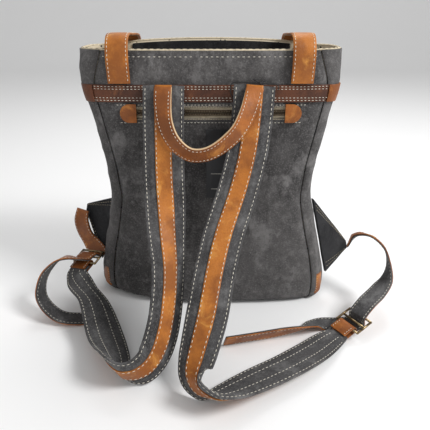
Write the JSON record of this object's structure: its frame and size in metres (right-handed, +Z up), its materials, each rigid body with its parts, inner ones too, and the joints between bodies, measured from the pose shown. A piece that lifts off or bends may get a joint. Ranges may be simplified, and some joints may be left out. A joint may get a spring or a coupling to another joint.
{
  "type": "travel backpack",
  "caption": "Charcoal canvas travel backpack with tan leather straps, seen from the wearer's side, its mouth held by two snap straps.",
  "frame": {"origin": "middle of the flat base, on the ground", "axes": "+Z up; -Y towards the wearer's back, where the shoulder straps are; +X to the right as seen from the strap side"},
  "size_m": [0.4786, 0.3537, 0.359],
  "materials": {
    "canvas": "washed waxed canvas",
    "dark_canvas": "plain canvas",
    "cotton_lining": "printed cotton",
    "cream_tape": "woven tape",
    "tan_leather": "waxed",
    "brown_leather": "waxed",
    "zip_teeth": "dark",
    "antique_brass": "worn",
    "foam_board": "matte",
    "black_card": "matte",
    "black_cord": "waxed cotton",
    "webbing": "canvas faced with leather"
  },
  "bodies": {
    "bag": {"back_panel": "canvas", "front_panel": "canvas", "left_gusset": "canvas", "right_gusset": "canvas", "base_panel": "dark_canvas", "back_collar": "canvas", "front_collar": "canvas", "rim_binding": "cream_tape", "band_back": "brown_leather", "band_front": "tan_leather", "corner_patches": "tan_leather", "lining": "cotton_lining", "base_board": "foam_board", "inner_pocket": "cotton_lining", "back_pocket_bag": "cotton_lining", "back_zip_tapes": "cream_tape", "back_zip_chain": "zip_teeth", "back_zip_patches": "tan_leather", "mouth_facings": "dark_canvas", "mouth_zip_tapes": "cream_tape", "mouth_zip_chain": "zip_teeth", "front_pocket": "canvas", "front_pocket_trim": "tan_leather", "closure_tabs": "tan_leather", "snap_sockets": "antique_brass", "left_strap_top": "canvas", "right_strap_top": "canvas", "left_strip_top": "tan_leather", "right_strip_top": "tan_leather", "left_webbing": "webbing", "right_webbing": "webbing", "left_wing": "dark_canvas", "right_wing": "dark_canvas", "tag_string": "black_cord"},
    "back_slider": {"back_zip_slider": "antique_brass"},
    "back_pull": {"back_zip_pull": "tan_leather"},
    "mouth_slider": {"mouth_zip_slider": "antique_brass"},
    "mouth_pull": {"mouth_zip_pull": "tan_leather"},
    "handle": {"handle": "tan_leather"},
    "left_closure": {"left_closure_strap": "tan_leather", "left_closure_buckle": "antique_brass", "left_snap_stud": "antique_brass"},
    "right_closure": {"right_closure_strap": "tan_leather", "right_closure_buckle": "antique_brass", "right_snap_stud": "antique_brass"},
    "left_harness": {"left_strap": "canvas", "left_strip": "tan_leather", "left_strap_pad": "foam_board", "left_end_tab": "tan_leather", "left_adjuster": "antique_brass"},
    "right_harness": {"right_strap": "canvas", "right_strip": "tan_leather", "right_strap_pad": "foam_board", "right_end_tab": "tan_leather", "right_adjuster": "antique_brass"},
    "tag": {"hang_tag": "black_card"}
  },
  "joints": [
    {"name": "back_zip_slide", "type": "slide", "parent": "bag", "child": "back_slider", "axis": [1, 0, 0], "range_m": [0, 0.13]},
    {"name": "back_zip_pull_swing", "type": "hinge", "parent": "back_slider", "child": "back_pull", "pos_m": [-0.07, -0.0645, 0.27], "axis": [0, -1, 0], "range_deg": [-70, 70]},
    {"name": "mouth_zip_slide", "type": "slide", "parent": "bag", "child": "mouth_slider", "axis": [-1, 0, 0], "range_m": [0, 0.02]},
    {"name": "mouth_zip_pull_swing", "type": "hinge", "parent": "mouth_slider", "child": "mouth_pull", "pos_m": [0.138, -0.01, 0.3055], "axis": [0, 0, 1], "range_deg": [-60, 60]},
    {"name": "handle_swing", "type": "hinge", "parent": "bag", "child": "handle", "pos_m": [0, -0.0742, 0.3025], "axis": [-1, 0, 0], "range_deg": [0, 150]},
    {"name": "left_closure_swing", "type": "hinge", "parent": "bag", "child": "left_closure", "pos_m": [-0.106, -0.0634, 0.305], "axis": [1, 0, 0], "range_deg": [0, 90]},
    {"name": "right_closure_swing", "type": "hinge", "parent": "bag", "child": "right_closure", "pos_m": [0.106, -0.0634, 0.305], "axis": [1, 0, 0], "range_deg": [0, 90]},
    {"name": "left_strap_swing", "type": "hinge", "parent": "bag", "child": "left_harness", "pos_m": [-0.055, -0.0974, 0.2], "axis": [-1, 0, 0], "range_deg": [0, 12], "deforming": ["left_webbing"]},
    {"name": "right_strap_swing", "type": "hinge", "parent": "bag", "child": "right_harness", "pos_m": [0.036, -0.0974, 0.2], "axis": [-1, 0, 0], "range_deg": [0, 12], "deforming": ["right_webbing"]},
    {"name": "tag_swing", "type": "hinge", "parent": "bag", "child": "tag", "pos_m": [0.017, -0.0666, 0.247], "axis": [0, -1, 0], "range_deg": [-12, 12]}
  ]
}
